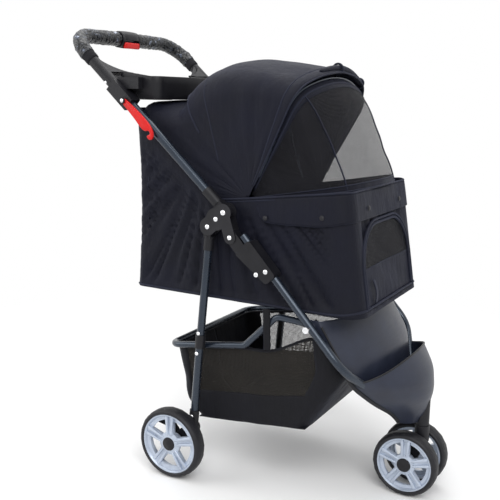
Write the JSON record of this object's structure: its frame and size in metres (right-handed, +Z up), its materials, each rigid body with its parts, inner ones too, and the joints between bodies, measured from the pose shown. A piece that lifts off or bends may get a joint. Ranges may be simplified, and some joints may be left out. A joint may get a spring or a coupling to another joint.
{
  "type": "pet stroller",
  "caption": "Folding pet stroller: cloth cabin with mesh hood and arched front door on a tube frame, with a railed basket, cup tray, storage hook, swivelling front caster and spoked wheels.",
  "frame": {"origin": "centre of the footprint box on the ground", "axes": "+X forward, +Y to the stroller's left, +Z up"},
  "size_m": [0.8428, 0.4782, 0.9679],
  "materials": {
    "cabin_cloth": "matte woven nylon with a slight sheen",
    "mesh_cloth": "open mesh",
    "frame_tube": "gloss black paint",
    "black_plastic": "satin",
    "slate_plastic": "satin slate",
    "hinge_plate": "satin dark",
    "bright_steel": "bright zinc",
    "grip_film": "foam grip in crinkled clear film",
    "red_plastic": "gloss red",
    "rim_silver": "silver painted",
    "tyre": "moulded tread"
  },
  "bodies": {
    "front_frame": {"front_leg_left": "frame_tube", "front_leg_right": "frame_tube", "catch_pins": "bright_steel", "hinge_plates_left": "hinge_plate", "hinge_plates_right": "hinge_plate", "hinge_pins": "bright_steel", "lock_housing_left": "black_plastic", "lock_housing_right": "black_plastic", "nose_bowl": "slate_plastic", "front_panel": "slate_plastic", "caster_socket": "black_plastic", "cabin_shell": "cabin_cloth", "front_cuff": "cabin_cloth", "floor_board": "black_plastic", "canopy": "cabin_cloth", "front_bow": "black_plastic", "rear_bow": "black_plastic", "visor_pins": "black_plastic"},
    "handle_frame": {"handle_tube": "frame_tube", "grip_left": "grip_film", "grip_right": "grip_film", "release_cables": "bright_steel", "handle_knuckle_left": "black_plastic", "handle_knuckle_right": "black_plastic", "release_housing": "black_plastic", "parent_tray": "black_plastic", "tray_bracket_left": "black_plastic", "tray_bracket_right": "black_plastic"},
    "rear_left_leg": {"rear_leg_left": "frame_tube", "rear_knuckle_left": "black_plastic", "wheel_bracket_left": "black_plastic", "rail_saddle_left": "black_plastic", "rear_axle_left": "bright_steel"},
    "rear_right_leg": {"rear_leg_right": "frame_tube", "rear_knuckle_right": "black_plastic", "wheel_bracket_right": "black_plastic", "rail_saddle_right": "black_plastic", "rear_axle_right": "bright_steel"},
    "basket_frame": {"basket_rail": "frame_tube", "basket": "mesh_cloth"},
    "release_button": {"release_button": "red_plastic"},
    "storage_hook": {"storage_hook": "red_plastic"},
    "caster": {"caster_fork": "black_plastic", "front_axle": "bright_steel"},
    "front_wheel_left": {"front_rim_left": "rim_silver", "front_tyre_left": "tyre", "front_hub_cap_left": "black_plastic"},
    "front_wheel_right": {"front_rim_right": "rim_silver", "front_tyre_right": "tyre", "front_hub_cap_right": "black_plastic"},
    "rear_wheel_left": {"rear_rim_left": "rim_silver", "rear_tyre_left": "tyre", "rear_hub_cap_left": "black_plastic"},
    "rear_wheel_right": {"rear_rim_right": "rim_silver", "rear_tyre_right": "tyre", "rear_hub_cap_right": "black_plastic"},
    "brake_left": {"brake_lever_left": "black_plastic"},
    "brake_right": {"brake_lever_right": "black_plastic"},
    "visor": {"visor": "mesh_cloth"},
    "front_door": {"front_door": "mesh_cloth"}
  },
  "joints": [
    {"name": "frame_fold", "type": "hinge", "parent": "front_frame", "child": "handle_frame", "pos_m": [-0.00059, 0, 0.592], "axis": [0, 1, 0], "range_deg": [0, 160], "deforming": ["cabin_shell", "front_cuff", "floor_board", "canopy", "front_bow", "rear_bow", "visor", "front_door", "basket", "visor_pins"]},
    {"name": "rear_left_leg_fold", "type": "hinge", "parent": "front_frame", "child": "rear_left_leg", "pos_m": [-0.03759, 0, 0.56], "axis": [0, 1, 0], "range_deg": [-45, 0]},
    {"name": "rear_right_leg_fold", "type": "hinge", "parent": "front_frame", "child": "rear_right_leg", "pos_m": [-0.03759, 0, 0.56], "axis": [0, 1, 0], "range_deg": [-45, 0]},
    {"name": "basket_fold", "type": "hinge", "parent": "front_frame", "child": "basket_frame", "pos_m": [0.19478, 0, 0.38176], "axis": [0, 1, 0], "range_deg": [-11.4, 0]},
    {"name": "release_press", "type": "slide", "parent": "handle_frame", "child": "release_button", "axis": [0, 0, 1], "range_m": [0, 0.005], "stiffness_N_per_m": 400},
    {"name": "hook_swing", "type": "hinge", "parent": "handle_frame", "child": "storage_hook", "pos_m": [-0.24437, -0.2113, 0.80844], "axis": [0, 1, 0], "range_deg": [-65, 0]},
    {"name": "caster_swivel", "type": "hinge", "parent": "front_frame", "child": "caster", "pos_m": [0.37241, 0, 0.15], "axis": [0, 0, 1], "continuous": true},
    {"name": "front_left_spin", "type": "hinge", "parent": "caster", "child": "front_wheel_left", "pos_m": [0.35141, 0.033, 0.07], "axis": [0, 1, 0], "continuous": true},
    {"name": "front_right_spin", "type": "hinge", "parent": "caster", "child": "front_wheel_right", "pos_m": [0.35141, -0.033, 0.07], "axis": [0, 1, 0], "continuous": true},
    {"name": "rear_left_spin", "type": "hinge", "parent": "rear_left_leg", "child": "rear_wheel_left", "pos_m": [-0.11459, 0.22155, 0.078], "axis": [0, 1, 0], "continuous": true},
    {"name": "rear_right_spin", "type": "hinge", "parent": "rear_right_leg", "child": "rear_wheel_right", "pos_m": [-0.11459, -0.22155, 0.078], "axis": [0, 1, 0], "continuous": true},
    {"name": "brake_left_press", "type": "hinge", "parent": "rear_left_leg", "child": "brake_left", "pos_m": [-0.13959, 0.194, 0.108], "axis": [0, 1, 0], "range_deg": [-25, 0]},
    {"name": "brake_right_press", "type": "hinge", "parent": "rear_right_leg", "child": "brake_right", "pos_m": [-0.13959, -0.194, 0.108], "axis": [0, 1, 0], "range_deg": [-25, 0]},
    {"name": "visor_open", "type": "hinge", "parent": "front_frame", "child": "visor", "pos_m": [0.04141, 0, 0.621], "axis": [0, 1, 0], "range_deg": [-40, 0]},
    {"name": "door_open", "type": "hinge", "parent": "front_frame", "child": "front_door", "pos_m": [0.28914, 0, 0.419], "axis": [0, 1, 0], "range_deg": [0, 95]}
  ],
  "couplings": [
    {"joint": "rear_left_leg_fold", "follows": "frame_fold", "ratio": -0.28125},
    {"joint": "rear_right_leg_fold", "follows": "frame_fold", "ratio": -0.28125},
    {"joint": "basket_fold", "follows": "frame_fold", "ratio": -0.07125}
  ]
}
